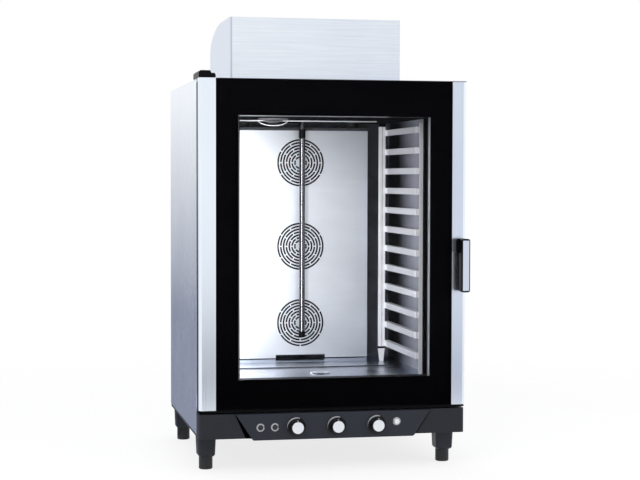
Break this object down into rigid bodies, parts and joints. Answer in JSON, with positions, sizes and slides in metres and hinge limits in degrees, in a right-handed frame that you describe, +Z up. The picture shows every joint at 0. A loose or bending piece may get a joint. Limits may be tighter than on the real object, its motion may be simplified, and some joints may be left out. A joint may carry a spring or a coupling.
{
  "type": "convection_oven",
  "caption": "Upright floor-standing convection oven with a glazed side-hinged door, fan guard with slotted grilles, tray racks, knob panel and a curved flue hood.",
  "frame": {"origin": "centre of the footprint on the floor, under the middle of the overall box", "axes": "+X to the oven's right as seen from the front, +Y to the back, +Z up; the door faces -Y"},
  "size_m": [0.86, 0.8662, 1.459],
  "materials": {
    "casing_steel": "brushed",
    "chamber_steel": "satin",
    "stile_aluminium": "satin anodised",
    "painted_steel": "semi-matt paint",
    "charcoal_plastic": "fine grain",
    "black_plastic": "satin",
    "door_black": "satin paint",
    "clear_glass": "clear",
    "glass_print": "gloss black print",
    "chrome_trim": "polished",
    "pilot_dark": "smoked",
    "gasket_rubber": "matt",
    "mineral_wool": "fibrous"
  },
  "bodies": {
    "oven": {"left_side_panel": "casing_steel", "right_side_panel": "casing_steel", "rear_panel": "casing_steel", "top_panel": "casing_steel", "front_frame": "casing_steel", "hood_cover": "casing_steel", "hood_front": "casing_steel", "hood_cheeks": "casing_steel", "upper_hinge": "casing_steel", "lower_hinge": "casing_steel", "latch_keeper": "casing_steel", "chamber_walls": "chamber_steel", "chamber_ceiling": "chamber_steel", "chamber_floor": "chamber_steel", "fan_guard": "chamber_steel", "left_rack": "chamber_steel", "right_rack": "chamber_steel", "water_line": "chamber_steel", "drain_fitting": "chamber_steel", "lamp_bezel": "chamber_steel", "heat_exchanger": "chamber_steel", "flue_duct": "chamber_steel", "base_tray": "painted_steel", "gas_burner": "painted_steel", "fan_motors": "painted_steel", "front_moulding": "charcoal_plastic", "control_panel": "charcoal_plastic", "leg_sockets": "charcoal_plastic", "hinge_cap": "black_plastic", "control_switches": "black_plastic", "cable_gland": "black_plastic", "lamp_lens": "clear_glass", "panel_bezels": "chrome_trim", "pilot_lenses": "pilot_dark", "door_gasket": "gasket_rubber", "insulation": "mineral_wool"},
    "door": {"left_stile": "stile_aluminium", "right_stile": "stile_aluminium", "door_frame": "door_black", "outer_glass": "clear_glass", "glass_mask": "glass_print", "inner_glass": "clear_glass", "handle_rosette": "black_plastic"},
    "door_handle": {"handle_lever": "black_plastic", "handle_insert": "stile_aluminium", "handle_spindle": "casing_steel"},
    "temperature_dial": {"temperature_knob": "black_plastic", "temperature_knob_cap": "stile_aluminium"},
    "timer_dial": {"timer_knob": "black_plastic", "timer_knob_cap": "stile_aluminium"},
    "humidity_dial": {"humidity_knob": "black_plastic", "humidity_knob_cap": "stile_aluminium"},
    "button": {"push_button": "chrome_trim"},
    "top_fan": {"top_fan_wheel": "chamber_steel"},
    "middle_fan": {"middle_fan_wheel": "chamber_steel"},
    "bottom_fan": {"bottom_fan_wheel": "chamber_steel"},
    "foot_front_left": {"front_left_foot": "black_plastic"},
    "foot_front_right": {"front_right_foot": "black_plastic"},
    "foot_rear_left": {"rear_left_foot": "black_plastic"},
    "foot_rear_right": {"rear_right_foot": "black_plastic"}
  },
  "joints": [
    {"name": "door_swing", "type": "hinge", "parent": "oven", "child": "door", "pos_m": [-0.41, -0.34715, 0.717], "axis": [0, 0, -1], "range_deg": [0, 120]},
    {"name": "handle_turn", "type": "hinge", "parent": "door", "child": "door_handle", "pos_m": [0.41, -0.39615, 0.714], "axis": [0, 1, 0], "range_deg": [0, 90]},
    {"name": "temperature_turn", "type": "hinge", "parent": "oven", "child": "temperature_dial", "pos_m": [-0.123, -0.39315, 0.147], "axis": [0, 1, 0], "range_deg": [0, 270]},
    {"name": "timer_turn", "type": "hinge", "parent": "oven", "child": "timer_dial", "pos_m": [0.007, -0.39315, 0.147], "axis": [0, 1, 0], "range_deg": [0, 270]},
    {"name": "humidity_turn", "type": "hinge", "parent": "oven", "child": "humidity_dial", "pos_m": [0.137, -0.39315, 0.147], "axis": [0, 1, 0], "range_deg": [0, 270]},
    {"name": "button_press", "type": "slide", "parent": "oven", "child": "button", "axis": [0, 1, 0], "range_m": [0, 0.003], "stiffness_N_per_m": 400},
    {"name": "top_fan_spin", "type": "hinge", "parent": "oven", "child": "top_fan", "pos_m": [0, 0.22815, 0.983], "axis": [0, 1, 0], "continuous": true},
    {"name": "middle_fan_spin", "type": "hinge", "parent": "oven", "child": "middle_fan", "pos_m": [0, 0.22815, 0.691], "axis": [0, 1, 0], "continuous": true},
    {"name": "bottom_fan_spin", "type": "hinge", "parent": "oven", "child": "bottom_fan", "pos_m": [0, 0.22815, 0.423], "axis": [0, 1, 0], "continuous": true},
    {"name": "front_left_foot_level", "type": "slide", "parent": "oven", "child": "foot_front_left", "axis": [0, 0, -1], "range_m": [0, 0.03]},
    {"name": "front_right_foot_level", "type": "slide", "parent": "oven", "child": "foot_front_right", "axis": [0, 0, -1], "range_m": [0, 0.03]},
    {"name": "rear_left_foot_level", "type": "slide", "parent": "oven", "child": "foot_rear_left", "axis": [0, 0, -1], "range_m": [0, 0.03]},
    {"name": "rear_right_foot_level", "type": "slide", "parent": "oven", "child": "foot_rear_right", "axis": [0, 0, -1], "range_m": [0, 0.03]}
  ]
}
